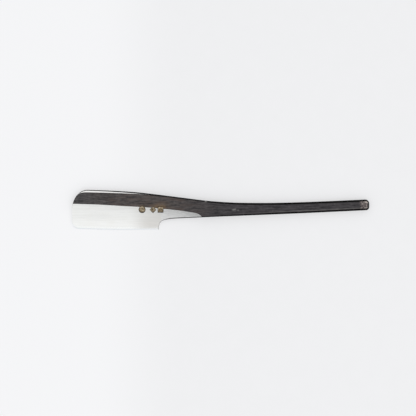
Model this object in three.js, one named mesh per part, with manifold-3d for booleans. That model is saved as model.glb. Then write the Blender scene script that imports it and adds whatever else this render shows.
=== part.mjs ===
// A razor-form leather skiving knife: one flat forging of soft iron that is blade backing, neck and grip at
// once, with a hard steel plate forge-welded under the blade and three small brass inlays hammered in beside
// the grinding line.
// Millimetres. +X runs from the nose to the butt of the grip, +Y from the cutting edge to the spine, and +Z
// up from the flat back that the knife lies on. The origin is the middle of the footprint, on that back.
import * as THREE from "three";
import { mergeVertices } from "three/addons/utils/BufferGeometryUtils.js";
import Module from "manifold-3d";

const wasm = await Module();
wasm.setup();

// Driving dimensions.
const LENGTH = 157.5; // nose to butt
const SPINE_Y = 10.65; // the highest point of the spine
const EDGE_Y = -10.65; // the lowest point of the cutting edge
const STEEL_THICKNESS = 1.2; // the hard steel plate, from the back up
const STEEL_END_X = -22; // where the plate ends, under the neck
const INLAY_FLOOR = 2.5; // height of the pockets' flat floors
const INLAY_GAP = 0.06; // between an inlay and its pocket's wall

const NOSE_X = -LENGTH / 2;
const BUTT_X = LENGTH / 2;

// Plan outline. The nose is a quarter ellipse on the spine side and a round corner on the edge side.
const NOSE = { x: NOSE_X + 8.15, y: 0.3, rx: 8.15, ry: SPINE_Y - 0.3 };
const TOE = { x: NOSE_X + 3.35, y: -6.7, r: 3.35 };
const HEEL = { x: NOSE_X + 45.8, y: -10.4 }; // the corner that ends the cutting edge
const SWEEP = { length: 4.45, depth: 4.6 }; // the tight concave turn from the heel up into the neck
const BUTT_CORNERS = { spine: 2.3, belly: 1.6 };

const SPINE_LINE = [
  [NOSE.x, SPINE_Y],
  [-57.7, 10.2],
  [-45, 9.42],
  [-32.2, 8.0],
  [-19.5, 6.39],
  [-6.8, 4.85],
  [6, 3.95],
  [18.7, 3.72],
  [31.4, 3.81],
  [48.4, 4.32],
  [BUTT_X, 5.62],
];
const EDGE_LINE = [
  [TOE.x, TOE.y - TOE.r],
  [-62, -10.5],
  [-49, EDGE_Y],
  [HEEL.x, HEEL.y],
];
const NECK_LINE = [
  [HEEL.x, HEEL.y + SWEEP.depth],
  [-29, -5.07],
  [-25.5, -4.6],
  [-19.5, -4.3],
  [-6.8, -3.76],
  [10.2, -3.07],
  [44.2, -1.68],
  [BUTT_X, -0.05],
];
// The grinding line: the arris between the black flank and the ground face.
const SHOULDER_LINE = [
  [NOSE_X - 1, 3.25],
  [-66, 2.85],
  [-53.5, 2.14],
  [-38.6, 1.25],
  [-25.9, 0.12],
  [-19.5, -0.66],
  [-13.1, -1.75],
  [-11, -2.8],
  [-9.9, -3.95],
];
// Height of the flank above the back, and width of the bright chamfer along the spine. The chamfer fades out
// round the nose, where the outline turns across.
const FLANK_HEIGHT = [
  [NOSE_X, 3.7],
  [-60, 4.3],
  [-35, 4.8],
  [-10, 5.0],
  [25, 4.6],
  [BUTT_X, 4.0],
];
const CHAMFER_WIDTH = [
  [NOSE_X, 0.15],
  [-75, 0.35],
  [-72.5, 1.0],
  [-66, 1.0],
  [-52, 0.75],
  [-41, 0.4],
  [-20, 0.3],
  [30, 0.45],
  [BUTT_X, 0.5],
];
const CHAMFER_SLOPE = 0.4; // how steeply the chamfer falls towards the spine
const SIDE_LEAN = { nose: 0.1, blade: 0.35 }; // how far the spine's side leans in below the chamfer
const BELLY_ROUND = { heel: 0.1, neck: 0.4, butt: 0.85 }; // the broken arris along the belly
const BACK_ROUND = 0.3; // the small bevel where the sides meet the back
const BEVEL_WIDTH = 1.5; // the honed cutting bevel
const BEVEL_HEIGHT = 0.55; // height of the face at the top of that bevel
const EDGE_HEIGHT = 0.12; // the keen edge, kept this thick as a solid
const HOLLOW_SAG = 0.45; // how far the ground face dips below a straight line
const BACK_HOLLOW = { from: NOSE_X + 4, to: -36, margin: 2.4, depth: 0.3 };
const BUTT_FACET = { x: BUTT_X - 5.2, drop: 0.9 }; // the ground flat that ends the grip

const ROUND_INLAY = { x: -41.65, y: 0.2, radius: 1.75 };
const LOZENGE_INLAY = { x: -35.9, y: 0.1, width: 3.4, height: 3.4 };
const SQUARE_INLAY = { x: -31.9, y: 0.15, width: 2.9, height: 3.0 };

// A smooth function of x through hand-set points, none of which doubles back.
function through(points) {
  const curve = new THREE.SplineCurve(points.map(([x, y]) => new THREE.Vector2(x, y)));
  const samples = curve.getPoints(points.length * 12);
  return (x) => {
    const next = samples.findIndex((p) => p.x >= x);
    if (next <= 0) return (next === 0 ? samples[0] : samples.at(-1)).y;
    const a = samples[next - 1];
    const b = samples[next];
    return THREE.MathUtils.mapLinear(x, a.x, b.x, a.y, b.y);
  };
}

const spineLine = through(SPINE_LINE);
const edgeLine = through(EDGE_LINE);
const neckLine = through(NECK_LINE);
const shoulderLine = through(SHOULDER_LINE);
const flankHeight = through(FLANK_HEIGHT);
const chamferWidth = through(CHAMFER_WIDTH);

// A width that changes gently from one value to another between two stations.
const easing = (x, from, to, a, b) => THREE.MathUtils.lerp(a, b, THREE.MathUtils.smoothstep(x, from, to));

const sideLean = (x) => easing(x, NOSE_X, NOSE_X + 6, SIDE_LEAN.nose, SIDE_LEAN.blade);

function bellyRound(x) {
  if (x < HEEL.x + 1) return 0;
  const { heel, neck, butt } = BELLY_ROUND;
  return x < -15 ? easing(x, HEEL.x + 1, HEEL.x + 6, heel, neck) : easing(x, -15, 40, neck, butt);
}

// How far a round corner of radius r has fallen away, at a distance from the point where it begins.
const cornerFall = (r, along) => r - Math.sqrt(Math.max(0, r * r - along * along));

function spineY(x) {
  if (x < NOSE.x) {
    return NOSE.y + NOSE.ry * Math.sqrt(Math.max(0, 1 - ((NOSE.x - x) / NOSE.rx) ** 2));
  }
  const r = BUTT_CORNERS.spine;
  return spineLine(x) - cornerFall(r, Math.max(0, x - (BUTT_X - r)));
}

function bellyY(x) {
  if (x < TOE.x) return TOE.y - Math.sqrt(Math.max(0, TOE.r ** 2 - (TOE.x - x) ** 2));
  if (x <= HEEL.x) return edgeLine(x);
  const along = (HEEL.x + SWEEP.length - x) / SWEEP.length;
  if (along > 0) return neckLine(x) - SWEEP.depth * (1 - Math.cbrt(1 - along ** 3));
  const r = BUTT_CORNERS.belly;
  return neckLine(x) + cornerFall(r, Math.max(0, x - (BUTT_X - r)));
}

// The flank's height, with the butt's ground flat.
function flankZ(x) {
  const past = Math.max(0, x - BUTT_FACET.x) / (BUTT_X - BUTT_FACET.x);
  return flankHeight(x) - BUTT_FACET.drop * past;
}

// Height of the upper surface: the flank above the shoulder, the hollow-ground face below it, and the honed
// bevel at the edge.
function surfaceZ(x, y) {
  const shoulder = shoulderLine(x);
  if (y >= shoulder || x > SHOULDER_LINE.at(-1)[0]) return flankZ(x);
  const edge = edgeLine(Math.min(x, HEEL.x));
  const bevelTop = edge + BEVEL_WIDTH;
  if (y < bevelTop) {
    return THREE.MathUtils.mapLinear(Math.max(y, edge), edge, bevelTop, EDGE_HEIGHT, BEVEL_HEIGHT);
  }
  const t = (y - bevelTop) / (shoulder - bevelTop);
  return THREE.MathUtils.lerp(BEVEL_HEIGHT, flankZ(x), t) - HOLLOW_SAG * 4 * t * (1 - t);
}

// The back is flat but for a shallow hollow under the blade, so that only its rim touches a whetstone.
function backZ(x, y) {
  const { from, to, margin, depth } = BACK_HOLLOW;
  const along = (x - from) / (to - from);
  const low = bellyY(x) + margin;
  const across = (y - low) / (spineY(x) - margin - low);
  if (along <= 0 || along >= 1 || across <= 0 || across >= 1) return 0;
  return depth * Math.min(1, 4 * Math.sin(Math.PI * along)) * Math.sin(Math.PI * across);
}

// One cross-section of the forging as a closed ring of points, from the belly along the back to the spine and
// home over the flank and the ground face. Rows that the nose cuts off fall onto the outline, and vanish when
// vertices are merged.
function section(x) {
  const belly = bellyY(x);
  const spine = spineY(x);
  const round = bellyRound(x);
  const backRound = Math.min(BACK_ROUND, round);
  const lean = sideLean(x);
  const within = (y) => THREE.MathUtils.clamp(y, belly + round, spine - lean);

  const chamfer = within(spine - lean - chamferWidth(x));
  const leanTop = surfaceZ(x, chamfer) - CHAMFER_SLOPE * (spine - lean - chamfer);
  const shoulder = Math.min(chamfer, within(shoulderLine(x)));
  const bevelTop = Math.min(shoulder, within(edgeLine(Math.min(x, HEEL.x)) + BEVEL_WIDTH));

  const backLow = belly + backRound;
  const back = [0.12, 0.3, 0.5, 0.7, 0.88].map((t) => THREE.MathUtils.lerp(backLow, spine - BACK_ROUND, t));
  const face = [1, 0.8, 0.6, 0.4, 0.2, 0].map((t) => THREE.MathUtils.lerp(bevelTop, shoulder, t));
  const bellyTop = surfaceZ(x, belly + round);

  return [
    [backLow, 0],
    ...back.map((y) => [y, backZ(x, y)]),
    [spine - BACK_ROUND, 0],
    [spine, BACK_ROUND],
    [spine, leanTop - 2 * lean],
    [spine - lean, leanTop],
    [chamfer, surfaceZ(x, chamfer)],
    ...face.map((y) => [y, surfaceZ(x, y)]),
    [belly + round, bellyTop],
    [belly, Math.max(EDGE_HEIGHT / 2, bellyTop - round)],
    [belly, backRound],
  ];
}

// Station positions, closer together on the round nose, the toe, the heel and the butt.
function stations() {
  const ease = (from, to, count, bend) =>
    Array.from({ length: count }, (_, i) => from + (to - from) * bend(i / count));
  const startSlow = (t) => 1 - Math.cos((t * Math.PI) / 2);
  const endSlow = (t) => Math.sin((t * Math.PI) / 2);
  const even = (t) => t;
  return [
    ...ease(NOSE_X, NOSE.x, 12, startSlow),
    ...ease(NOSE.x, HEEL.x, 12, even),
    ...ease(HEEL.x, HEEL.x + SWEEP.length, 12, startSlow),
    ...ease(HEEL.x + SWEEP.length, -9.5, 12, even),
    ...ease(-9.5, BUTT_FACET.x, 12, even),
    ...ease(BUTT_FACET.x, BUTT_X - BUTT_CORNERS.spine, 2, even),
    ...ease(BUTT_X - BUTT_CORNERS.spine, BUTT_X, 6, endSlow),
    BUTT_X,
  ];
}

// Skins closed rings, one at each x, and closes both ends with a fan about the ring's middle.
function loft(xs, ringAt) {
  const rings = xs.map(ringAt);
  const count = rings[0].length;
  const positions = rings.flatMap((ring, i) => ring.flatMap(([y, z]) => [xs[i], y, z]));
  const index = [];
  for (let i = 0; i + 1 < rings.length; i++) {
    for (let j = 0; j < count; j++) {
      const a = i * count + j;
      const b = i * count + ((j + 1) % count);
      index.push(a, b, a + count, b, b + count, a + count);
    }
  }
  [0, rings.length - 1].forEach((i) => {
    const middle = positions.length / 3;
    const sum = rings[i].reduce(([y, z], p) => [y + p[0] / count, z + p[1] / count], [0, 0]);
    positions.push(xs[i], ...sum);
    for (let j = 0; j < count; j++) {
      const pair = [i * count + j, i * count + ((j + 1) % count)];
      index.push(middle, ...(i === 0 ? pair.reverse() : pair));
    }
  });
  const geometry = new THREE.BufferGeometry();
  geometry.setAttribute("position", new THREE.Float32BufferAttribute(positions, 3));
  return geometry.setIndex(index);
}

// A three.js geometry as a solid, without the faces that merging its vertices has emptied.
function solid(geometry) {
  const bare = geometry.clone();
  bare.deleteAttribute("normal");
  bare.deleteAttribute("uv");
  const merged = mergeVertices(bare, 1e-3);
  const corners = [...merged.index.array];
  const triangles = [];
  for (let i = 0; i < corners.length; i += 3) {
    const [a, b, c] = corners.slice(i, i + 3);
    if (a !== b && b !== c && c !== a) triangles.push(a, b, c);
  }
  return new wasm.Manifold(
    new wasm.Mesh({
      numProp: 3,
      vertProperties: merged.attributes.position.array,
      triVerts: new Uint32Array(triangles),
    }),
  );
}

function meshOf(name, shape, material) {
  const { vertProperties, triVerts } = shape.getMesh();
  const geometry = new THREE.BufferGeometry();
  geometry.setAttribute("position", new THREE.BufferAttribute(vertProperties, 3));
  geometry.setIndex(new THREE.BufferAttribute(triVerts, 1));
  geometry.computeVertexNormals();
  const mesh = new THREE.Mesh(geometry, material);
  mesh.name = name;
  return mesh;
}

// An upright plug of a plan shape, from one height up to another.
function plug(shape, from, to) {
  const options = { depth: to - from, bevelEnabled: false, curveSegments: 12 };
  const geometry = new THREE.ExtrudeGeometry(shape, options);
  return solid(geometry.translate(0, 0, from));
}

const discShape = ({ x, y, radius }, extra) => new THREE.Shape().absarc(x, y, radius + extra, 0, 2 * Math.PI);

const lozengeShape = ({ x, y, width, height }, extra) =>
  new THREE.Shape([
    new THREE.Vector2(x - width / 2 - extra, y),
    new THREE.Vector2(x, y - height / 2 - extra),
    new THREE.Vector2(x + width / 2 + extra, y),
    new THREE.Vector2(x, y + height / 2 + extra),
  ]);

function squareShape({ x, y, width, height }, extra) {
  const w = width / 2 + extra;
  const h = height / 2 + extra;
  return new THREE.Shape([
    new THREE.Vector2(x - w, y - h),
    new THREE.Vector2(x + w, y - h),
    new THREE.Vector2(x + w, y + h),
    new THREE.Vector2(x - w, y + h),
  ]);
}

const materials = {
  blackIron: new THREE.MeshStandardMaterial({ color: 0x4a4848, roughness: 0.55, metalness: 0.7 }),
  groundSteel: new THREE.MeshStandardMaterial({ color: 0xe2e2e0, roughness: 0.28, metalness: 1 }),
  brass: new THREE.MeshStandardMaterial({ color: 0x9a8562, roughness: 0.45, metalness: 0.9 }),
};

// The whole forging as one piece, then split along the weld into iron and steel.
const forging = solid(loft(stations(), section));
const plateShape = squareShape(
  { x: (NOSE_X - 1 + STEEL_END_X) / 2, y: 0, width: STEEL_END_X - NOSE_X + 1, height: 30 },
  0,
);
const plateSpace = plug(plateShape, -1, STEEL_THICKNESS);

const inlays = [
  { name: "round_inlay", dims: ROUND_INLAY, shape: discShape },
  { name: "lozenge_inlay", dims: LOZENGE_INLAY, shape: lozengeShape },
  { name: "square_inlay", dims: SQUARE_INLAY, shape: squareShape },
];
const ABOVE_ALL = 8; // a height well over the forging

const knife = new THREE.Group();
let iron = forging.subtract(plateSpace);
for (const { dims, shape } of inlays) {
  iron = iron.subtract(plug(shape(dims, INLAY_GAP), INLAY_FLOOR, ABOVE_ALL));
}
knife.add(meshOf("iron_body", iron, materials.blackIron));
knife.add(meshOf("steel_plate", forging.intersect(plateSpace), materials.groundSteel));
for (const { name, dims, shape } of inlays) {
  const inlay = forging.intersect(plug(shape(dims, 0), INLAY_FLOOR, ABOVE_ALL));
  knife.add(meshOf(name, inlay, materials.brass));
}

export default knife;
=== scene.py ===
import math

import bmesh
import bpy
import numpy as np
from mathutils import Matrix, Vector


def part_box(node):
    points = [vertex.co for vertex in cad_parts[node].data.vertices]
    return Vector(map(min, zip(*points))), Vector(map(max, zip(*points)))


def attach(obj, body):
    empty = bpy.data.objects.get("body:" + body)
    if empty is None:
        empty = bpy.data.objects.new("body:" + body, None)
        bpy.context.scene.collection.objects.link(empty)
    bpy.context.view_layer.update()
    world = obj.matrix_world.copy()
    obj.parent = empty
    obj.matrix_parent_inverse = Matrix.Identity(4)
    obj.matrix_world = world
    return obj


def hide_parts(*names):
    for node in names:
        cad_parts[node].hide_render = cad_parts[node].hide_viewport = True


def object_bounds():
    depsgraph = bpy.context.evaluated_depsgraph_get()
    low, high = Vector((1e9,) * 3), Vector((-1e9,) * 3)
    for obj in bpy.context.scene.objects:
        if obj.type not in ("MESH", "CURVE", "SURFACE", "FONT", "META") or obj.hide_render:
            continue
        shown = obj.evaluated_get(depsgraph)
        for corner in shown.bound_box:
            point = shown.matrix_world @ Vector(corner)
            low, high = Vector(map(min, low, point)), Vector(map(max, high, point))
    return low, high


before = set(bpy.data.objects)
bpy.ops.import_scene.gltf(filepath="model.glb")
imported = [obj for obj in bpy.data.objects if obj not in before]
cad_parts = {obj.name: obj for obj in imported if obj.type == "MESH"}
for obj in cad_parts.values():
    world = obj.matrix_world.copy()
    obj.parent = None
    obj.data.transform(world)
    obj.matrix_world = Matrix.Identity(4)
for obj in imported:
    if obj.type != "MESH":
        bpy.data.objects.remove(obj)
cad_low, cad_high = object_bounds()

MM = 0.001
NOSE_X = cad_low.x / MM
BUTT_X = cad_high.x / MM

# ---- The forging's shape, close to the CAD part's ------------------------------------------------

SPINE_Y = 10.65
NOSE = {"x": NOSE_X + 8.15, "y": 0.3, "rx": 8.15, "ry": SPINE_Y - 0.3}
TOE = {"x": NOSE_X + 3.35, "y": -6.7, "r": 3.35}
HEEL = {"x": NOSE_X + 45.8, "y": -10.4}
SWEEP = {"length": 4.45, "depth": 4.6}
SWEEP_END = HEEL["x"] + SWEEP["length"]
BUTT_CORNERS = {"spine": 2.3, "belly": 1.6}
STEEL_THICKNESS = 1.2
STEEL_END_X = -22.0

SPINE_LINE = [(NOSE["x"], SPINE_Y), (-57.7, 10.2), (-45, 9.42), (-32.2, 8.0), (-19.5, 6.39), (-6.8, 4.85),
              (6, 3.95), (18.7, 3.72), (31.4, 3.81), (48.4, 4.32), (BUTT_X, 5.62)]
EDGE_LINE = [(TOE["x"], TOE["y"] - TOE["r"]), (-62, -10.5), (-49, -10.65), (HEEL["x"], HEEL["y"])]
NECK_LINE = [(HEEL["x"], HEEL["y"] + SWEEP["depth"]), (-29, -5.07), (-25.5, -4.6), (-19.5, -4.3),
             (-6.8, -3.76), (10.2, -3.07), (44.2, -1.68), (BUTT_X, -0.05)]
SHOULDER_LINE = [(NOSE_X - 1, 3.25), (-66, 2.85), (-53.5, 2.14), (-38.6, 1.25), (-25.9, 0.12), (-19.5, -0.66),
                 (-13.1, -1.75), (-11, -2.8), (-9.9, -3.95)]
SHOULDER_END = SHOULDER_LINE[-1][0]
FLANK_HEIGHT = [(NOSE_X, 3.7), (-60, 4.3), (-35, 4.8), (-10, 5.0), (25, 4.6), (BUTT_X, 4.0)]
CHAMFER_WIDTH = [(NOSE_X, 0.15), (-75, 0.35), (-72.5, 1.0), (-66, 1.0), (-52, 0.8), (-41, 0.6), (-20, 0.3),
                 (30, 0.45), (BUTT_X, 0.5)]
POLISH_SHARE = 0.88  # of the chamfer's width inside its black rim
SIDE_LEAN = {"nose": 0.1, "blade": 0.35}
BELLY_ROUND = {"heel": 0.1, "neck": 0.4, "butt": 0.85}
BACK_ROUND = 0.3
BEVEL_WIDTH = 1.5
BEVEL_HEIGHT = 0.55
EDGE_HEIGHT = 0.06
HOLLOW_SAG = 0.45
CHAMFER_SLOPE = 0.4
LEAN_SLOPE = 2
BUTT_ROUND = 0.9
ARRIS_ROUND = {"face": 0.05, "bevel": 0.03, "blade": 0.05, "grip": 0.4}
BACK_HOLLOW = {"from": NOSE_X + 4, "to": -36, "margin": 2.4, "depth": 0.3}
BUTT_FACET = {"x": BUTT_X - 5.2, "drop": 0.9}
INLAY_FLOOR = 2.5
INLAY_GAP = 0.09
CUT_TOP = 8  # well above the knife

# Unevenness as layers of noise: height, length of its cells along and across, and seed.
HAMMER_MARKS = [(0.035, 8, 5, 1), (0.018, 2.6, 1.6, 2), (0.008, 1.3, 0.5, 3)]
GRINDING_MARKS = [(0.006, 30, 0.9, 6), (0.003, 14, 0.6, 7)]
SIDE_MARKS = [(0.3, 4.5, 2.5, 11), (0.2, 1.4, 0.9, 12)]
WELD_WANDER = [(0.06, 5, 1, 21), (0.03, 1.7, 1, 22)]
SKIN_PITS = {"depth": 0.03, "from": 0.25, "to": 0.7}
BACK_PITS = {"depth": 0.03, "from": 0.1, "to": 0.5}
SIDE_MARK_DEPTH = 0.09

# Small dents in the iron's upper side: place, half-sizes along and across, and depth.
DENTS = [(6.7, 0.12, 0.6, 0.3, 0.1), (7.5, 0.42, 0.55, 0.3, 0.1), (9.2, -0.02, 0.45, 0.25, 0.07),
         (-7.9, 4.55, 0.5, 0.35, 0.12), (-24.6, 4.1, 0.35, 0.2, 0.04), (-55.2, 6.3, 0.5, 0.16, 0.04),
         (41.0, 1.9, 0.6, 0.2, 0.02), (27.5, -0.6, 0.3, 0.25, 0.03), (60.3, 3.2, 0.5, 0.2, 0.02)]


def through(points):
    """A smooth function of x through points: a uniform Catmull-Rom curve, read off between close samples."""
    p = np.array([points[0], *points, points[-1]], float)
    t = np.linspace(0, 1, 25)[:-1, None]
    curve = []
    for a, b, c, d in zip(p, p[1:], p[2:], p[3:]):
        leave, arrive = (c - a) / 2, (d - b) / 2
        curve.append((2 * b - 2 * c + leave + arrive) * t**3 + (3 * c - 3 * b - 2 * leave - arrive) * t**2
                     + leave * t + b)
    curve = np.vstack([*curve, p[-1:]])
    return lambda x: np.interp(x, curve[:, 0], curve[:, 1])


spine_line = through(SPINE_LINE)
edge_line = through(EDGE_LINE)
neck_line = through(NECK_LINE)
shoulder_line = through(SHOULDER_LINE)
flank_height = through(FLANK_HEIGHT)
chamfer_width = through(CHAMFER_WIDTH)


def lerp(a, b, t):
    return a + (b - a) * t


def smoothstep(x, low, high):
    t = np.clip((x - low) / (high - low), 0, 1)
    return t * t * (3 - 2 * t)


def easing(x, low, high, a, b):
    """A width that changes gently from one value to another between two stations."""
    return lerp(a, b, smoothstep(x, low, high))


def smooth_min(a, b, k):
    """The lower of two heights, with their arris rounded over a height of about k."""
    h = np.maximum(k - np.abs(a - b), 0) / k
    return np.minimum(a, b) - h * h * k / 4


def quarter_fall(r, inside):
    """How far a quarter round of radius r has fallen, at a distance inside its foot."""
    reach = np.clip(r - inside, 0, r)
    return r - np.sqrt(np.maximum(r * r - reach * reach, 0))


def noise(x, y, cell_x, cell_y, seed):
    """Smooth seeded noise from -1 to 1, with cells of a given length along x and y."""
    grid = np.random.default_rng(seed).uniform(-1, 1, (128, 128))
    u, v = np.broadcast_arrays(x / cell_x, y / cell_y)
    i, j = np.floor(u).astype(int), np.floor(v).astype(int)
    s, t = smoothstep(u - i, 0, 1), smoothstep(v - j, 0, 1)
    row = [lerp(grid[(i + a) % 128, j % 128], grid[(i + a) % 128, (j + 1) % 128], t) for a in (0, 1)]
    return lerp(row[0], row[1], s)


def layered(x, y, layers):
    return sum(height * noise(x, y, along, across, seed) for height, along, across, seed in layers)


def spine_y(x):
    nose = NOSE["y"] + NOSE["ry"] * np.sqrt(np.clip(1 - ((NOSE["x"] - x) / NOSE["rx"]) ** 2, 0, 1))
    r = BUTT_CORNERS["spine"]
    return np.where(x < NOSE["x"], nose, spine_line(x) - quarter_fall(r, BUTT_X - x))


def belly_y(x):
    toe = TOE["y"] - np.sqrt(np.maximum(TOE["r"] ** 2 - (TOE["x"] - x) ** 2, 0))
    along = np.clip((SWEEP_END - x) / SWEEP["length"], 0, 1)
    neck = neck_line(x) - SWEEP["depth"] * (1 - np.cbrt(1 - along**3))
    neck = neck + quarter_fall(BUTT_CORNERS["belly"], BUTT_X - x)
    return np.select([x < TOE["x"], x <= HEEL["x"]], [toe, edge_line(x)], neck)


def side_lean(x):
    return easing(x, NOSE_X, NOSE_X + 6, SIDE_LEAN["nose"], SIDE_LEAN["blade"])


def rim_width(x):
    """Width of the black left on the chamfer beside its outer arris."""
    return easing(x, -76, -42, 0.05, 0.35)


def polish_width(x):
    """Width of the chamfer's bright polish. It thins out round the nose and towards the neck."""
    share = POLISH_SHARE * np.minimum(easing(x, -77.5, -70.5, 0.08, 1), easing(x, -52, -36, 1, 0))
    return share * np.maximum(chamfer_width(x) - rim_width(x), 0)


def belly_round(x):
    neck = easing(x, HEEL["x"], HEEL["x"] + 6, BELLY_ROUND["heel"], BELLY_ROUND["neck"])
    return neck + easing(x, -15, 40, 0, BELLY_ROUND["butt"] - BELLY_ROUND["neck"])


# The outline of the heel's sweep as close points, and the same line moved in by the broken arris's width.
SWEEP_REACH = HEEL["x"] + 9
sweep_x = np.concatenate([HEEL["x"] + 0.3 * np.linspace(0, 1, 500) ** 3,
                          np.linspace(HEEL["x"] + 0.3, SWEEP_REACH, 500)[1:]])
sweep_y = belly_y(sweep_x)
sweep_y[0] = HEEL["y"]
slope_x, slope_y = np.gradient(sweep_x), np.gradient(sweep_y)
slope_length = np.hypot(slope_x, slope_y)
inner_x = sweep_x - belly_round(sweep_x) * slope_y / slope_length
inner_y = sweep_y + belly_round(sweep_x) * slope_x / slope_length


def round_line(x):
    """The inner line of the broken arris along the belly, which keeps its width round the heel's sweep."""
    line = np.where(x < SWEEP_REACH - 0.5, np.interp(x, inner_x, inner_y), belly_y(x) + belly_round(x))
    return np.where(x < inner_x[0], belly_y(x), np.maximum(line, belly_y(x)))


def inside_belly(x, y):
    """Distance from the outline of the heel's sweep, the neck and the grip, on the belly side."""
    x, y = np.broadcast_arrays(x, y)
    inside = np.array(y - belly_y(x), float)
    inside[x < HEEL["x"] - 1] = 1
    near = (x >= HEEL["x"] - 1) & (x < SWEEP_REACH - 1) & (y < 0)
    apart = np.hypot(x[near][:, None] - sweep_x, y[near][:, None] - sweep_y)
    inside[near] = apart.min(1)
    return inside


def flank_z(x):
    past = np.maximum(0, x - BUTT_FACET["x"]) / (BUTT_X - BUTT_FACET["x"])
    return flank_height(x) - BUTT_FACET["drop"] * past


def feature_lines(x):
    """The lines that run along the knife, kept inside the outline, in order from the belly to the spine."""
    belly, spine, lean = belly_y(x), spine_y(x), side_lean(x)
    round_top = round_line(x)
    lean_line = spine - lean

    def within(y):
        return np.clip(y, round_top, lean_line)

    chamfer = within(lean_line - chamfer_width(x))
    rim = within(lean_line - rim_width(x))
    polish = within(lean_line - rim_width(x) - polish_width(x))
    shoulder = np.minimum(chamfer, within(shoulder_line(x)))
    bevel_top = np.minimum(shoulder, within(edge_line(np.minimum(x, HEEL["x"])) + BEVEL_WIDTH))
    weld = np.clip(weld_line(x), bevel_top, shoulder)
    return {"belly": belly, "round": round_top, "bevel": bevel_top, "weld": weld, "shoulder": shoulder,
            "chamfer": chamfer, "polish": polish, "rim": rim, "lean": lean_line, "spine": spine}


def weld_z(x):
    """Height of the forge weld. It wanders a little along the knife."""
    return STEEL_THICKNESS + layered(x, 0 * x, WELD_WANDER)


def weld_line(x):
    """Where the hollow-ground face cuts through the forge weld."""
    bevel_top = edge_line(np.minimum(x, HEEL["x"])) + BEVEL_WIDTH
    bend = 4 * HOLLOW_SAG
    rise = flank_z(x) - BEVEL_HEIGHT - bend
    t = (np.sqrt(rise * rise + 4 * bend * (weld_z(x) - BEVEL_HEIGHT)) - rise) / (2 * bend)
    return lerp(bevel_top, shoulder_line(x), t)


def relief(x, y):
    """Hammer marks and shallow pits in the black skin, as a height to add."""
    pits = smoothstep(noise(x, y, 1.1, 0.7, 4) * noise(x, y, 6, 4, 5), SKIN_PITS["from"], SKIN_PITS["to"])
    return layered(x, y, HAMMER_MARKS) - SKIN_PITS["depth"] * pits


def dent_depth(x, y):
    return sum(depth * np.exp(-(((x - a) / rx) ** 2 + ((y - b) / ry) ** 2) ** 1.5)
               for a, b, rx, ry, depth in DENTS)


def upper_z(x, y):
    """Height of the forging's upper surface: the flank, the hollow-ground face below the shoulder, the honed
    bevel at the edge, the spine's chamfer and lean, and the round along the belly of the neck and grip."""
    flank = flank_z(x)
    line = feature_lines(x)
    edge = edge_line(np.minimum(x, HEEL["x"]))
    bevel_top = edge + BEVEL_WIDTH
    t = (y - bevel_top) / (shoulder_line(x) - bevel_top)
    grinding = layered(x, y, GRINDING_MARKS) * smoothstep(y - bevel_top, 0.2, 1.2)
    face = lerp(BEVEL_HEIGHT, flank, t) - HOLLOW_SAG * 4 * t * (1 - t) + grinding
    face = np.where(x > SHOULDER_END, flank + 1, face)
    bevel = EDGE_HEIGHT + (y - edge) * (BEVEL_HEIGHT - EDGE_HEIGHT) / BEVEL_WIDTH
    bevel = np.where(y < bevel_top + 0.5, bevel, flank + 1)
    chamfer_top = line["lean"] - chamfer_width(x)
    chamfer = flank - CHAMFER_SLOPE * (y - chamfer_top)
    lean = flank - CHAMFER_SLOPE * chamfer_width(x) - LEAN_SLOPE * (y - line["lean"])
    softness = easing(x, -38, -5, ARRIS_ROUND["blade"], ARRIS_ROUND["grip"])
    away = smoothstep(np.minimum(y - line["shoulder"], line["chamfer"] - y), 0, 0.8)
    skin = flank + relief(x, y) * away
    z = smooth_min(skin, face, ARRIS_ROUND["face"])
    z = smooth_min(z, bevel, ARRIS_ROUND["bevel"])
    z = smooth_min(z, chamfer, softness)
    z = smooth_min(z, lean, softness)
    z = z - np.minimum(quarter_fall(belly_round(x), inside_belly(x, y)), 0.6 * z)
    z = z - quarter_fall(BUTT_ROUND, BUTT_X - x) - dent_depth(x, y)
    return np.maximum(z, EDGE_HEIGHT)


def back_z(x, y):
    """Height of the back: flat, with a shallow hollow under the blade and small pits under the grip."""
    low = belly_y(x) + BACK_HOLLOW["margin"]
    high = spine_y(x) - BACK_HOLLOW["margin"]
    along = (x - BACK_HOLLOW["from"]) / (BACK_HOLLOW["to"] - BACK_HOLLOW["from"])
    across = (y - low) / np.where(high > low, high - low, 1)
    inside = (along > 0) & (along < 1) & (across > 0) & (across < 1)
    ends = np.minimum(1, 4 * np.sin(math.pi * np.clip(along, 0, 1)))
    scoop = ends * np.sin(math.pi * np.clip(across, 0, 1))
    pits = smoothstep(noise(x, y, 1.4, 0.9, 8) * noise(x, y, 7, 4, 9), BACK_PITS["from"], BACK_PITS["to"])
    grip = smoothstep(x, STEEL_END_X + 1, STEEL_END_X + 4)
    rim = np.minimum(y - belly_y(x), spine_y(x) - y)
    broken = quarter_fall(BACK_ROUND, rim) * np.where(x > HEEL["x"], 1, smoothstep(y, 0, 4))
    return np.where(inside, BACK_HOLLOW["depth"] * scoop, 0) + BACK_PITS["depth"] * pits * grip + broken


# ---- Meshes --------------------------------------------------------------------------------------

# Rows of the plan grid between neighbouring feature lines: (line, next line, how many, how they bunch).
ROWS = [("belly", "round", 6, "slow_start"), ("round", "bevel", 4, "even"), ("bevel", "weld", 6, "even"),
        ("weld", "shoulder", 16, "both"), ("shoulder", "chamfer", 16, "both"),
        ("chamfer", "polish", 3, "even"), ("polish", "rim", 4, "even"), ("rim", "lean", 2, "even"),
        ("lean", "spine", 3, "even")]
WALL_ROWS = 6
BUNCHING = {
    "even": lambda t: t,
    "slow_start": lambda t: 1 - np.cos(t * math.pi / 2),
    "slow_end": lambda t: np.sin(t * math.pi / 2),
    "both": lambda t: lerp(t, (1 - np.cos(t * math.pi)) / 2, 0.7),
}


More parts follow.
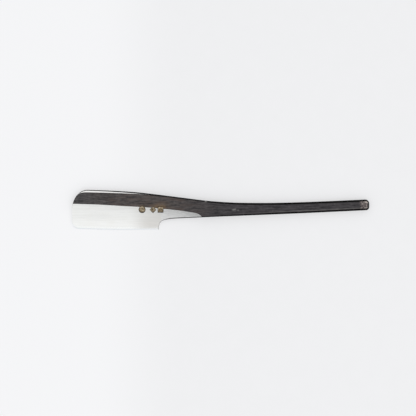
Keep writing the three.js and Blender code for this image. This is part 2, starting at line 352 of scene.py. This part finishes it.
def stations():
    """Positions of the cross-sections, closer together where the outline turns."""
    near_heel = HEEL["x"] - 0.5
    corner = BUTT_X - BUTT_CORNERS["spine"]
    spans = [(NOSE_X, NOSE["x"], 56, "slow_start"), (NOSE["x"], near_heel, 116, "even"),
             (near_heel, HEEL["x"], 16, "even"), (HEEL["x"], SWEEP_END, 60, "slow_start"),
             (SWEEP_END, STEEL_END_X, 20, "even"), (STEEL_END_X, SHOULDER_END, 56, "even"),
             (SHOULDER_END, BUTT_FACET["x"], 230, "even"), (BUTT_FACET["x"], corner, 10, "even"),
             (corner, BUTT_X, 24, "slow_end")]
    xs = [lerp(a, b, BUNCHING[bunch](np.arange(count) / count)) for a, b, count, bunch in spans]
    return np.concatenate([*xs, [BUTT_X]])


def plan_grid(xs):
    """y of every row at every station, and the name of the band that lies above each row."""
    lines = feature_lines(xs)
    columns, bands = [], []
    for low, high, count, bunch in ROWS:
        for t in BUNCHING[bunch](np.arange(count) / count):
            columns.append(lerp(lines[low], lines[high], t))
            bands.append(low)
    columns.append(lines["spine"])
    return np.stack(columns, 1), bands


SCALE, GROUND, SOCKET = 0, 1, 2  # material indices on the iron body and the steel plate
GROUND_END = HEEL["x"] + 0.15  # the grinding wraps this far round the heel's corner
CLOSED = 0.02  # the iron ends where it is thinner than this over the plate
THINNEST = 0.02  # the forging at its thinnest
FLUSH = 1e-6  # two heights closer than this are one
MERGE = 2e-6  # in metres: points closer than this are one


def band_material(band, x):
    """The black skin is ground away on the face, and on the chamfer's polished part."""
    if band in ("bevel", "weld", "polish"):
        return GROUND
    return GROUND if band == "round" and x < GROUND_END else SCALE


def wall_depth(x, z):
    """Forge marks in the upright sides of the neck and the grip, as a depth."""
    marks = 0.5 + layered(x, z, SIDE_MARKS)
    return SIDE_MARK_DEPTH * float(smoothstep(x, -30, -20) * smoothstep(BUTT_X - x, 1, 5) * marks)


def slab(name, xs, ys, bottom, middle, top, top_material, wall_material, bottom_material):
    """A closed mesh over a plan grid, from the bottom's height to the top's, with a wall round its outline
    that has a row at the middle height. Cells with no thickness are left out."""
    rows, columns = ys.shape
    bm = bmesh.new()

    def sheet(z):
        return [[bm.verts.new((xs[i] * MM, ys[i, j] * MM, z[i, j] * MM)) for j in range(columns)]
                for i in range(rows)]

    upper, lower = sheet(top), sheet(bottom)
    thick = top - bottom > FLUSH

    def face(corners, material):
        made = bm.faces.new(corners)
        made.material_index = material

    for i in range(rows - 1):
        for j in range(columns - 1):
            if thick[i:i + 2, j:j + 2].any():
                cell = [(i, j), (i + 1, j), (i + 1, j + 1), (i, j + 1)]
                face([upper[a][b] for a, b in cell], top_material(i, j))
                face([lower[a][b] for a, b in reversed(cell)], bottom_material(i, j))

    rim = [(i, 0) for i in range(rows)] + [(rows - 1, j) for j in range(1, columns)]
    rim += [(i, columns - 1) for i in range(rows - 2, -1, -1)] + [(0, j) for j in range(columns - 2, 0, -1)]
    ladders = []
    for i, j in rim:
        x, y, _ = upper[i][j].co
        inward = 1 if j == 0 else -1 if j == columns - 1 else 0
        ladder = [lower[i][j]]
        for k in range(WALL_ROWS):
            z = lerp(middle[i, j], top[i, j], k / WALL_ROWS)
            sunk = inward * wall_depth(xs[i], z) * math.sin(math.pi * k / WALL_ROWS)
            ladder.append(bm.verts.new((x, y + sunk * MM, z * MM)))
        ladders.append([*ladder, upper[i][j]])
    for n, (i, j) in enumerate(rim):
        here, there = ladders[n], ladders[(n + 1) % len(rim)]
        if thick[i, j] or thick[rim[(n + 1) % len(rim)]]:
            for k in range(WALL_ROWS + 1):
                face([here[k], there[k], there[k + 1], here[k + 1]], wall_material(i, j))

    bmesh.ops.delete(bm, geom=[v for v in bm.verts if not v.link_faces], context="VERTS")
    bmesh.ops.remove_doubles(bm, verts=bm.verts, dist=MERGE)
    return add_piece(name, bm)


def add_piece(name, bm):
    mesh = bpy.data.meshes.new(name)
    bm.to_mesh(mesh)
    bm.free()
    piece = bpy.data.objects.new(name, mesh)
    bpy.context.scene.collection.objects.link(piece)
    return piece


def forging():
    """The iron body and the steel plate under its blade, which share the weld as a common surface."""
    xs = stations()
    ys, bands = plan_grid(xs)
    grid_x = np.repeat(xs[:, None], ys.shape[1], 1)
    top = upper_z(grid_x, ys)
    back = np.minimum(back_z(grid_x, ys), top - THINNEST)
    weld = np.broadcast_to(weld_z(xs)[:, None], ys.shape)
    bare = top - weld < CLOSED

    def side(x, y):
        """The sides are ground below the shoulder, from the nose round the toe to the heel."""
        return GROUND if x < GROUND_END and y < shoulder_line(x) else SCALE

    ends = int(np.searchsorted(xs, STEEL_END_X)) + 1
    plate_top = np.where(bare, top, weld)[:ends]
    plate_middle = lerp(back[:ends], plate_top, 0.2)  # its walls are even but for one low row
    plate = slab("steel_plate_ground", xs[:ends], ys[:ends], back[:ends], plate_middle, plate_top,
                 lambda i, j: band_material(bands[j], xs[i]),
                 lambda i, j: side(xs[i], ys[i, j]), lambda i, j: GROUND)

    # The step at the plate's end is a wall between two stations at the same place.
    bottom = np.where(grid_x <= STEEL_END_X, np.where(bare, top, weld), back)
    middle = np.minimum(np.maximum(weld, bottom), top)
    twice = np.sort(np.append(np.arange(len(xs)), ends - 1))
    bottom = bottom[twice]
    bottom[ends] = back[ends - 1]
    xs_twice, ys_twice = xs[twice], ys[twice]
    iron = slab("iron_body_forged", xs_twice, ys_twice, bottom, middle[twice], top[twice],
                lambda i, j: band_material(bands[j], xs_twice[i]),
                lambda i, j: side(xs_twice[i], ys_twice[i, j]), lambda i, j: SCALE)
    return iron, plate


# ---- Brass inlays --------------------------------------------------------------------------------

SIDES = 72
ANGLES = [2 * math.pi * (k + 0.5) / SIDES for k in range(SIDES)]


def disc_reach(angle):
    return 1.0


def lozenge_reach(angle):
    return 1 / (abs(math.cos(angle)) + abs(math.sin(angle)))


def square_reach(angle):
    return 1 / max(abs(math.cos(angle)), abs(math.sin(angle)))


# Plan shape, and the punch marks of each inlay as places in a unit square with a radius.
INLAYS = {
    "round_inlay": (disc_reach, [(0, 0, 0.34)]),
    "lozenge_inlay": (lozenge_reach, [(0, 0, 0.2), (0.42, 0, 0.13), (-0.42, 0, 0.13), (0, 0.42, 0.13),
                                      (0, -0.42, 0.13)]),
    "square_inlay": (square_reach, [(a * 0.5, b * 0.5, 0.17) for a in (-1, 0, 1) for b in (-1, 0, 1)]),
}
SHADED_MARKS = ("lozenge_inlay", "square_inlay")  # the disc's wide dimple gets no painted shade
DIMPLE_DEPTH = 0.16
RIM_FALL = 0.16
PROUD = 0.05
RING_REACH = [0.12, 0.24, 0.36, 0.48, 0.6, 0.7, 0.78, 0.85, 0.91, 0.96, 1.0]


def inlay_place(node):
    """Centre and half-sizes of an inlay in millimetres, as the CAD has them."""
    low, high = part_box(node)
    middle, half = (low + high) / 2 / MM, (high - low) / 2 / MM
    return middle.x, middle.y, half.x, half.y


def inlay_relief(u, v, edge, marks):
    """Beaten brass: a rounded rim, punched dimples and a little unevenness, as a height to add."""
    z = PROUD - RIM_FALL * smoothstep(edge, 0.82, 1.0)
    for a, b, r in marks:
        z -= DIMPLE_DEPTH * float(1 - smoothstep(math.hypot(u - a, v - b), r * 0.45, r))
    return z + 0.02 * float(noise(u, v, 0.35, 0.35, 31))


def make_inlay(node):
    reach, marks = INLAYS[node]
    x, y, half_x, half_y = inlay_place(node)
    bm = bmesh.new()

    def top_vert(u, v, edge):
        px, py = x + u * half_x, y + v * half_y
        z = float(upper_z(np.array([px]), np.array([py]))[0]) + inlay_relief(u, v, edge, marks)
        return bm.verts.new((px * MM, py * MM, z * MM))

    centre = top_vert(0, 0, 0)
    rings = []
    for f in RING_REACH:
        rings.append([top_vert(f * reach(a) * math.cos(a), f * reach(a) * math.sin(a), f) for a in ANGLES])
    foot = [bm.verts.new((v.co.x, v.co.y, INLAY_FLOOR * MM)) for v in rings[-1]]
    for n in range(SIDES):
        m = (n + 1) % SIDES
        bm.faces.new((centre, rings[0][n], rings[0][m]))
        for inner, outer in zip(rings, rings[1:] + [foot]):
            bm.faces.new((inner[n], outer[n], outer[m], inner[m]))
    bm.faces.new(foot[::-1])
    return add_piece(node + "_punched", bm)


def cut_pocket(iron, node):
    """Cuts the inlay's pocket into the iron, with a fine dark gap round the brass."""
    reach, _ = INLAYS[node]
    x, y, half_x, half_y = inlay_place(node)
    bm = bmesh.new()
    plan = []
    for angle in ANGLES:
        r = reach(angle)
        plan.append((x + (half_x + INLAY_GAP) * r * math.cos(angle),
                     y + (half_y + INLAY_GAP) * r * math.sin(angle)))
    low = [bm.verts.new((px * MM, py * MM, INLAY_FLOOR * MM)) for px, py in plan]
    high = [bm.verts.new((px * MM, py * MM, CUT_TOP * MM)) for px, py in plan]
    bm.faces.new(low[::-1])
    bm.faces.new(high)
    for n in range(SIDES):
        m = (n + 1) % SIDES
        bm.faces.new((low[n], low[m], high[m], high[n]))
    for face in bm.faces:
        face.material_index = SOCKET
    cutter = add_piece("pocket_cutter", bm)
    for material in iron.data.materials:
        cutter.data.materials.append(material)
    cut = iron.modifiers.new("pocket", "BOOLEAN")
    cut.operation = "DIFFERENCE"
    cut.solver = "EXACT"
    cut.object = cutter
    bpy.context.view_layer.update()
    evaluated = iron.evaluated_get(bpy.context.evaluated_depsgraph_get())
    result = bpy.data.meshes.new_from_object(evaluated)
    iron.modifiers.clear()
    iron.data = result
    bpy.data.objects.remove(cutter)


# ---- Masks ---------------------------------------------------------------------------------------

NECK_X = -31.8  # the filed neck begins here
NECK_SLANT = 0.0875  # how far its start leans towards the spine, for each millimetre across
SKIN_X = -28.9  # the black skin begins here on the back
HEEL_TONE = {"from": -50, "to": -37, "least": 0.52}  # the face turns greyer towards the heel
KEEN_WIDTH = 0.7  # width of a darker, bluish strip at the very edge: painted shade
SIDE_SKIN = 0.9  # how far down the sides the top's worn arrises and painted highlights reach; down to this depth the sides are painted near-black as shade
WIDE_STAIN = {"x": -32.4, "y": 1.6, "rx": 3.6, "ry": 1.7, "strength": 0.7}
SMALL_STAIN = {"x": -41.8, "y": 1.9, "rx": 2.0, "ry": 0.7, "strength": 0.5}


def bump_at(distance, width):
    """A bell-shaped mark: 1 in its middle, and about a third of that at its half-width."""
    return np.exp(-(distance / width) ** 2)


def stain_at(x, y, place):
    bell = bump_at(x - place["x"], place["rx"]) * bump_at(y - place["y"], place["ry"])
    return place["strength"] * bell


def upper_side(x, y, z):
    """Which points lie nearer the forging's upper surface than its back."""
    return z > 0.5 * upper_z(x, y)


def paint(piece, name, value):
    attribute = piece.data.attributes.new(name, "FLOAT", "POINT")
    attribute.data.foreach_set("value", np.clip(value, 0, 1).astype(np.float32))


def paint_masks(piece):
    """Point attributes that the materials read: where the black skin is worn or cut through to bare iron,
    with painted highlights along some arrises, where it is painted near-black as shade on its rounded sides
    and edges, where it is stained with brass, and how the ground face changes from the blade to the neck,
    with painted shade at the very edge."""
    points = np.empty(len(piece.data.vertices) * 3)
    piece.data.vertices.foreach_get("co", points)
    x, y, z = points.reshape(-1, 3).T / MM
    line = feature_lines(x)
    upper = z > 0.5 * flank_z(x)
    under = z < 0.35
    patchy = 0.5 + 0.5 * noise(x, y, 2.2, 0.8, 41)
    fine = 0.5 + 0.5 * noise(x, y, 0.7, 0.5, 42)

    top_skin = z > flank_z(x) - SIDE_SKIN
    # Painted highlights, partly worn scale: a light line along the shoulder, and one just inside the grip's
    # lower arris.
    arris = bump_at(y - line["shoulder"], 0.12) * (x < SHOULDER_END) * 0.7
    arris = np.maximum(arris, 0.4 * bump_at(y - line["round"] - 0.4, 0.2) * smoothstep(x, 5, 45))
    wear_and_highlight = arris * (0.35 + 0.65 * patchy) * top_skin
    outline = np.minimum(y - line["belly"], line["spine"] - y)
    back_arris = bump_at(z - BACK_ROUND, 0.1) * smoothstep(outline, 0.1, 0)
    wear_and_highlight = np.maximum(wear_and_highlight, 0.5 * back_arris * patchy * smoothstep(x, -28, -20))
    for a, b, rx, ry, depth in DENTS:
        wear_and_highlight = np.maximum(wear_and_highlight, 7 * depth * np.exp(-((x - a) / rx) ** 2 - ((y - b) / ry) ** 2) * top_skin)
    facet = smoothstep(x, BUTT_FACET["x"] - 0.6, BUTT_FACET["x"] + 1.6) * smoothstep(BUTT_X - x, 0.5, 1.0)
    facet = facet * smoothstep(line["lean"] - y, 0.3, 0.8) * smoothstep(y - line["belly"], 0.8, 1.3) * upper
    middle = (line["lean"] + line["belly"]) / 2
    corner = smoothstep(x, BUTT_X - 3.4, BUTT_X - 1.6) * smoothstep(abs(y - middle), 0.8, 1.7)
    paint(piece, "wear_and_highlight", wear_and_highlight)
    paint(piece, "facet", facet * (0.55 + 0.15 * fine + 0.3 * corner))
    paint(piece, "burr", corner * facet)

    stain = stain_at(x, y, WIDE_STAIN) * smoothstep(y - line["shoulder"], -0.3, 0.1)
    stain = np.maximum(stain, stain_at(x, y, SMALL_STAIN))
    paint(piece, "stain", stain * (0.4 + 0.6 * fine) * upper)

    low = easing(-y, 0, 8, HEEL_TONE["least"], 1)
    paint(piece, "heel", smoothstep(x, HEEL_TONE["from"], HEEL_TONE["to"]) * low)
    uneven = x + NECK_SLANT * (y + 3) + 0.25 * noise(x, y, 0.6, 0.6, 43)
    paint(piece, "neck", smoothstep(uneven, NECK_X - 0.5, NECK_X + 0.5))
    is_steel = piece.name.startswith("steel")
    honed = smoothstep(line["bevel"] - y, -0.05, 0.1) * upper_side(x, y, z)
    paint(piece, "honed", honed * is_steel)
    # painted shade: a darker bluish strip along the very edge of the blade
    edge_shade_line = smoothstep(line["belly"] + KEEN_WIDTH - y, -0.2, 0.2) * (x < HEEL["x"] - 0.3)
    paint(piece, "edge_shade_line", edge_shade_line * is_steel)
    paint(piece, "polished", smoothstep(y - line["chamfer"], -0.02, 0.05) * upper)
    paint(piece, "weld_trace", bump_at(y - line["weld"], 0.08) * (line["weld"] > line["round"] + 0.01))

    # Where the scale keeps its own tone. The chamfer's rim, the belly's round and the top of the sides stay
    # at 0, where they are painted near-black as shade.
    spine_band = 0.2 * smoothstep(x, -30, 20)
    flat = smoothstep(line["chamfer"] - y, spine_band - 0.08, spine_band + 0.1) * upper
    flat = flat * smoothstep(y - line["round"], 0.0, 0.2)
    flat = flat * smoothstep(BUTT_X - x, 0.2, 0.8)
    on_side = np.minimum(outline, BUTT_X - x) < 0.12
    side = smoothstep(flank_z(x) - z, SIDE_SKIN, 1.7) * on_side * (0.45 + 0.4 * patchy)
    paint(piece, "rubbed_and_lit", np.maximum(flat, side) + 0.75 * under * (z < 0.1))

    ragged = x + 0.8 * noise(x, y, 3, 1.4, 44) + 0.25 * noise(x, y, 0.8, 0.5, 45)
    paint(piece, "skin", smoothstep(ragged, SKIN_X - 0.6, SKIN_X + 0.6) * under)


# ---- Materials -----------------------------------------------------------------------------------

class Nodes:
    """A short way to write shader nodes. An input is a number, a colour or another node's output."""

    def __init__(self, name):
        self.material = bpy.data.materials.new(name)
        self.material.use_nodes = True
        self.tree = self.material.node_tree
        self.tree.nodes.clear()
        place = self.add("ShaderNodeTexCoord").outputs["Object"]
        self.place = self.times(place, (1 / MM,) * 3)

    def add(self, kind, inputs=None, **settings):
        node = self.tree.nodes.new(kind)
        for key, value in settings.items():
            setattr(node, key, value)
        for key, value in (inputs or {}).items():
            if isinstance(value, bpy.types.NodeSocket):
                self.tree.links.new(value, node.inputs[key])
            else:
                node.inputs[key].default_value = value
        return node

    def times(self, vector, factors):
        return self.add("ShaderNodeVectorMath", {0: vector, 1: factors}, operation="MULTIPLY").outputs[0]

    def noise(self, size, detail=3.0, roughness=0.6):
        """Noise from 0 to 1 whose features have a given size in millimetres along x, y and z."""
        spot = self.times(self.place, tuple(1 / s for s in size))
        node = self.add("ShaderNodeTexNoise", {"Vector": spot, "Scale": 1.0, "Detail": detail,
                                               "Roughness": roughness})
        return node.outputs["Fac"]

    def cells(self, size):
        """Distance from the middles of scattered cells of a given size in millimetres."""
        spot = self.times(self.place, tuple(1 / s for s in size))
        return self.add("ShaderNodeTexVoronoi", {"Vector": spot, "Scale": 1.0}).outputs["Distance"]

    def map(self, value, low, high, to_low=0.0, to_high=1.0):
        node = self.add("ShaderNodeMapRange", {"Value": value, "From Min": low, "From Max": high,
                                               "To Min": to_low, "To Max": to_high},
                        interpolation_type="SMOOTHSTEP")
        return node.outputs[0]

    def math(self, operation, a, b=0.0):
        return self.add("ShaderNodeMath", {0: a, 1: b}, operation=operation).outputs[0]

    def colour(self, factor, a, b):
        node = self.add("ShaderNodeMix", {0: factor, 6: a, 7: b}, data_type="RGBA")
        return node.outputs[2]

    def value(self, factor, a, b):
        node = self.add("ShaderNodeMix", {0: factor, 2: a, 3: b}, data_type="FLOAT")
        return node.outputs[0]

    def along(self):
        """The place along the knife in millimetres."""
        return self.add("ShaderNodeSeparateXYZ", {0: self.place}).outputs["X"]

    def mask(self, name):
        return self.add("ShaderNodeAttribute", attribute_name=name).outputs["Fac"]

    def finish(self, look, bump=1.0, specular=0.5, glow=0.0):
        """The surface shader, with the look's height in millimetres as its bump."""
        colour, roughness, metallic, height = look
        normal = self.add("ShaderNodeBump", {"Strength": bump, "Distance": MM, "Height": height}).outputs[0]
        shader = self.add("ShaderNodeBsdfPrincipled", {
            "Base Color": colour, "Roughness": roughness, "Metallic": metallic, "Normal": normal,
            "Specular IOR Level": specular, "Emission Strength": glow})
        out = self.add("ShaderNodeOutputMaterial")
        self.tree.links.new(shader.outputs[0], out.inputs["Surface"])
        return self.material


def rgb(r, g, b):
    """A linear colour from display values of 0 to 255."""
    linear = [((c / 255 + 0.055) / 1.055) ** 2.4 if c > 10 else c / 255 / 12.92 for c in (r, g, b)]
    return (*linear, 1.0)


# A pair of colours is the dark and the light end of a streaked or mottled surface.
NOSE_SCALE = rgb(44, 44, 45), rgb(85, 82, 82)
BLADE_SCALE = rgb(46, 45, 46), rgb(89, 83, 81)
GRIP_SCALE = rgb(39, 38, 40), rgb(74, 71, 73)
BROWN_SCALE = rgb(80, 69, 64)
# painted shade: near-black for the rounded sides and edges of the scale
PAINTED_SHADE_BLACK = rgb(5, 4, 4)
PIT = rgb(18, 17, 18)
BRASS_STAIN = rgb(122, 98, 66)
# bare worn iron at the dents and the back, and a painted highlight along the arrises
RUBBED_IRON_AND_HIGHLIGHT = rgb(150, 147, 144)
CUT_IRON = rgb(44, 38, 38), rgb(150, 139, 135)
CUT_BURR = rgb(190, 180, 173)
FACE = rgb(215, 215, 213), rgb(228, 228, 226)
FACE_CLOUD = rgb(219, 218, 213)
HEEL_FACE = rgb(193, 191, 187), rgb(206, 204, 201)
FILED_NECK = rgb(199, 199, 198), rgb(218, 218, 217)
WELD_GREY = rgb(186, 184, 180)
HONED = rgb(233, 234, 232), rgb(208, 207, 204)  # along the blade, and at the heel
# painted shade: the darker bluish line at the very edge
KEEN_EDGE_SHADE = rgb(217, 219, 221)
POLISHED = rgb(232, 230, 228)
POCKET = rgb(38, 34, 32), rgb(64, 58, 52)
BRASS = rgb(96, 82, 60), rgb(180, 165, 141)
# painted shade on the brass's lower side and in its dimples, and its darker rim
BRASS_PAINTED_SHADE = rgb(48, 40, 32)
FLOOR = rgb(150, 150, 152), rgb(154, 154, 156)
# painted light: the floor's lighter part towards the blade
FLOOR_PAINTED_LIGHT = rgb(162, 162, 164)
STREAK = (0.38, 0.62)  # the range of a streak's noise that runs from dark to light


def blend(nodes, factor, a, b):
    """One look over another. A look is a colour, a roughness, a metallic value and a height."""
    return (nodes.colour(factor, a[0], b[0]), *(nodes.value(factor, a[k], b[k]) for k in (1, 2, 3)))


def scale_look(nodes):
    """Black forge scale: drawn-out grain along the bar, brownish on the blade, with small pits. Its streaked
    grey stays on the flats, which are handled; the rounded sides and edges are painted near-black as shade."""
    grain = nodes.noise((5.5, 0.5, 0.5), detail=6, roughness=0.66)
    threads = nodes.noise((9, 0.13, 0.13), detail=3)
    blotch = nodes.noise((6, 1.6, 1.6), detail=4)
    pits = nodes.map(nodes.cells((0.55, 0.4, 0.4)), 0.02, 0.22, 1.0, 0.0)
    pits = nodes.math("MULTIPLY", pits, nodes.map(nodes.noise((3, 2, 2)), 0.5, 0.62))
    mottle = nodes.noise((1.4, 1.0, 1.0), detail=4)
    streaks = nodes.math("ADD", nodes.math("MULTIPLY", grain, 0.55), nodes.math("MULTIPLY", threads, 0.25))
    tone = nodes.math("ADD", streaks, nodes.math("MULTIPLY", mottle, 0.2))
    streak = nodes.map(tone, *STREAK)
    nose, blade, grip = (nodes.colour(streak, *pair) for pair in (NOSE_SCALE, BLADE_SCALE, GRIP_SCALE))
    blade = nodes.colour(nodes.map(blotch, 0.45, 0.66, 0.0, 0.6), blade, BROWN_SCALE)
    colour = nodes.colour(nodes.map(nodes.along(), -76, -50), nose, blade)
    colour = nodes.colour(nodes.map(nodes.along(), -30, 5), colour, grip)
    # painted shade: near-black where this mask is low, on the rounded sides and edges
    colour = nodes.colour(nodes.mask("rubbed_and_lit"), PAINTED_SHADE_BLACK, colour)
    colour = nodes.colour(pits, colour, PIT)
    roughness = nodes.map(tone, 0.3, 0.7, 0.6, 0.4)
    height = nodes.math("ADD", nodes.math("MULTIPLY", tone, 0.03), nodes.math("MULTIPLY", pits, -0.02))
    return colour, roughness, 0.0, height


def bare_look(nodes):
    """Iron and steel ground lengthwise: fine parallel scratches and a soft sheen."""
    lines = nodes.noise((26, 0.16, 0.16), detail=5, roughness=0.7)
    wide = nodes.noise((40, 1.1, 1.1), detail=3)
    cloud = nodes.noise((6, 3, 3), detail=2)
    tone = nodes.math("ADD", nodes.math("MULTIPLY", lines, 0.55), nodes.math("MULTIPLY", wide, 0.45))
    colour = nodes.colour(nodes.map(tone, 0.3, 0.7), *FACE)
    colour = nodes.colour(nodes.map(cloud, 0.45, 0.75, 0.0, 0.3), colour, FACE_CLOUD)
    roughness = nodes.map(tone, 0.3, 0.7, 0.42, 0.3)
    return colour, roughness, 1.0, nodes.math("MULTIPLY", lines, 0.006)


def black_iron():
    """The forge scale, stained by the brass, worn on its arrises with painted highlights there, and cut
    through on the butt.
    """
    nodes = Nodes("black_iron")
    skin = scale_look(nodes)
    skin = (nodes.colour(nodes.mask("stain"), skin[0], BRASS_STAIN), *skin[1:])
    # bare worn iron, which also stands in as a painted highlight along the arrises
    rubbed_and_lit = (RUBBED_IRON_AND_HIGHLIGHT, 0.38, 0.85, skin[3])
    look = blend(nodes, nodes.mask("wear_and_highlight"), skin, rubbed_and_lit)
    mottle = nodes.map(nodes.noise((0.6, 0.9, 0.9), detail=4), 0.41, 0.59)
    cut = nodes.colour(nodes.mask("burr"), nodes.colour(mottle, *CUT_IRON), CUT_BURR)
    cut = (cut, nodes.value(mottle, 0.6, 0.4), 0.7, nodes.math("MULTIPLY", mottle, 0.02))
    return nodes.finish(blend(nodes, nodes.mask("facet"), look, cut), specular=0.06)


def ground_steel():
    """The ground face with the weld's faint trace, greyer at the heel, filed on the neck, honed along the
    edge with a darker bluish line of painted shade at its very edge, and polished on the chamfer. The black
    skin starts again under the neck."""
    nodes = Nodes("ground_steel")
    look = bare_look(nodes)
    trace = nodes.math("MULTIPLY", nodes.mask("weld_trace"), 0.12)
    colour = nodes.colour(trace, look[0], WELD_GREY)
    heel = nodes.colour(nodes.noise((8, 0.5, 0.5), detail=4), *HEEL_FACE)
    colour = nodes.colour(nodes.mask("heel"), colour, heel)
    fleck = nodes.map(nodes.noise((2.6, 0.28, 0.28), detail=4), 0.3, 0.7)
    colour = nodes.colour(nodes.mask("neck"), colour, nodes.colour(fleck, *FILED_NECK))
    colour = nodes.colour(nodes.mask("honed"), colour, nodes.colour(nodes.mask("heel"), *HONED))
    # painted shade along the very edge
    colour = nodes.colour(nodes.mask("edge_shade_line"), colour, KEEN_EDGE_SHADE)
    colour = nodes.colour(nodes.mask("polished"), colour, POLISHED)
    roughness = nodes.value(nodes.mask("neck"), look[1], nodes.value(fleck, 0.5, 0.42))
    roughness = nodes.value(nodes.mask("honed"), roughness, 0.25)
    look = (colour, roughness, look[2], look[3])
    return nodes.finish(blend(nodes, nodes.mask("skin"), look, scale_look(nodes)), specular=0.2)


def pocket_iron():
    """The dirty walls of the inlays' pockets."""
    nodes = Nodes("pocket_iron")
    dark_mix = nodes.map(nodes.noise((0.3, 0.3, 0.3)), 0.4, 0.6)
    return nodes.finish((nodes.colour(dark_mix, *POCKET), 0.7, 0.2, dark_mix))


def inlay_brass():
    """Dull, hand-worn brass, darker round the rim, with painted shade in the marks and towards each inlay's
    lower side.
    """
    nodes = Nodes("inlay_brass")
    tarnish = nodes.noise((0.8, 0.6, 0.6), detail=5)
    fine = nodes.noise((0.2, 0.12, 0.12), detail=3)
    colour = nodes.colour(nodes.map(tarnish, *STREAK), *BRASS)
    colour = nodes.colour(nodes.mask("brass_shade"), colour, BRASS_PAINTED_SHADE)
    roughness = nodes.map(fine, 0.3, 0.7, 0.34, 0.5)
    return nodes.finish((colour, roughness, 0.9, nodes.math("MULTIPLY", fine, 0.01)))


def paint_brass_shade(piece, node):
    """How dark each point of an inlay is painted: darker round its rim, with painted shade towards its lower
    side and, but for the disc, in its dimples.
    """
    reach, marks = INLAYS[node]
    x, y, half_x, half_y = inlay_place(node)
    brass_shade = []
    for vertex in piece.data.vertices:
        u, v = (vertex.co.x / MM - x) / half_x, (vertex.co.y / MM - y) / half_y
        edge = math.hypot(u, v) / reach(math.atan2(v, u))
        dark_mix = float(smoothstep(edge, 0.84, 1.0))
        # painted shade: darker towards the lower side of each inlay
        low_side = 0.55 + 0.45 * float(noise(u, v, 0.3, 0.3, 46))
        dark_mix = max(dark_mix, float(smoothstep(-v, 0.25, 0.75)) * low_side)
        # painted shade in the punched dimples
        for a, b, r in marks if node in SHADED_MARKS else ():
            dark_mix = max(dark_mix, 0.8 * float(1 - smoothstep(math.hypot(u - a, v - b), r * 0.5, r)))
        brass_shade.append(dark_mix)
    paint(piece, "brass_shade", np.array(brass_shade))


# ---- The knife -----------------------------------------------------------------------------------

FORGED_SHARP = math.radians(24)
BRASS_SHARP = math.radians(50)

iron, plate = forging()
skins = [black_iron(), ground_steel(), pocket_iron()]
for piece in (iron, plate):
    for material in skins:
        piece.data.materials.append(material)
for node in INLAYS:
    cut_pocket(iron, node)
for piece, node, slot in ((iron, "iron_body", "black_iron"), (plate, "steel_plate", "ground_steel")):
    paint_masks(piece)
    piece.data.shade_smooth()
    piece.data.set_sharp_from_angle(angle=FORGED_SHARP)
    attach(piece, "root")
    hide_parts(node)

brass = inlay_brass()
for node in INLAYS:
    inlay = make_inlay(node)
    inlay.data.materials.append(brass)
    paint_brass_shade(inlay, node)
    inlay.data.shade_smooth()
    inlay.data.set_sharp_from_angle(angle=BRASS_SHARP)
    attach(inlay, "root")
    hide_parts(node)

# ---- Floor, light and camera ---------------------------------------------------------------------

# Sizes and places here are in metres.
FLOOR_SIZE = 4
# Brightness of the world against the height of the direction it is seen in.
CEILING = {"From Min": 0.08, "From Max": 0.56, "To Min": 0.08, "To Max": 1.15}
CEILING_COLOUR = (0.98, 0.99, 1.0, 1)
VIEW_SPAN = 0.2209
VIEW_MIDDLE = (-0.00675, 0.00104)
VIEW_HEIGHT = 1.5
SENSOR_WIDTH = 36


def make_floor():
    """A plain pale floor with painted light: a little lighter towards the blade, and glowing a little, which
    lifts the knife's shadows.
    """
    bpy.ops.mesh.primitive_plane_add(size=FLOOR_SIZE, location=(0, 0, 0))
    floor = bpy.context.object
    floor.name = "floor"
    nodes = Nodes("pale_floor")
    speckle = nodes.noise((9, 9, 9), detail=4)
    colour = nodes.colour(speckle, *FLOOR)
    # painted light: the floor lighter towards the blade
    colour = nodes.colour(nodes.map(nodes.along(), -70, -20), FLOOR_PAINTED_LIGHT, colour)
    # painted light: the floor glows a little, which lifts the knife's shadows on it
    floor.data.materials.append(nodes.finish((colour, 0.6, 0.0, speckle), bump=0.02, glow=0.5))


def make_world():
    """A bright, even ceiling that darkens towards the horizon."""
    world = bpy.data.worlds.new("soft_studio")
    bpy.context.scene.world = world
    world.use_nodes = True
    tree = world.node_tree
    direction = tree.nodes.new("ShaderNodeTexCoord")
    parts = tree.nodes.new("ShaderNodeSeparateXYZ")
    ramp = tree.nodes.new("ShaderNodeMapRange")
    ramp.interpolation_type = "SMOOTHSTEP"
    for name, value in CEILING.items():
        ramp.inputs[name].default_value = value
    background = tree.nodes["Background"]
    tree.links.new(direction.outputs["Generated"], parts.inputs[0])
    tree.links.new(parts.outputs["Z"], ramp.inputs["Value"])
    tree.links.new(ramp.outputs[0], background.inputs["Strength"])
    background.inputs["Color"].default_value = CEILING_COLOUR


def make_lamp(name, place, size, power):
    """A round soft lamp that points at the middle of the knife."""
    lamp = bpy.data.lights.new(name, "AREA")
    lamp.shape = "DISK"
    lamp.size = size
    lamp.energy = power
    holder = bpy.data.objects.new(name, lamp)
    holder.location = place
    holder.rotation_euler = (-Vector(place)).to_track_quat("-Z", "Y").to_euler()
    bpy.context.scene.collection.objects.link(holder)


def make_camera():
    """Straight above, far enough away to show almost no perspective."""
    data = bpy.data.cameras.new("camera")
    data.sensor_width = SENSOR_WIDTH
    data.lens = SENSOR_WIDTH * VIEW_HEIGHT / VIEW_SPAN
    camera = bpy.data.objects.new("camera", data)
    camera.location = (*VIEW_MIDDLE, VIEW_HEIGHT)
    bpy.context.scene.collection.objects.link(camera)
    bpy.context.scene.camera = camera


make_floor()
make_world()
make_lamp("key", place=(0.3, -0.2, 0.9), size=0.6, power=0.8)
make_camera()
bpy.context.scene.view_settings.view_transform = "Standard"
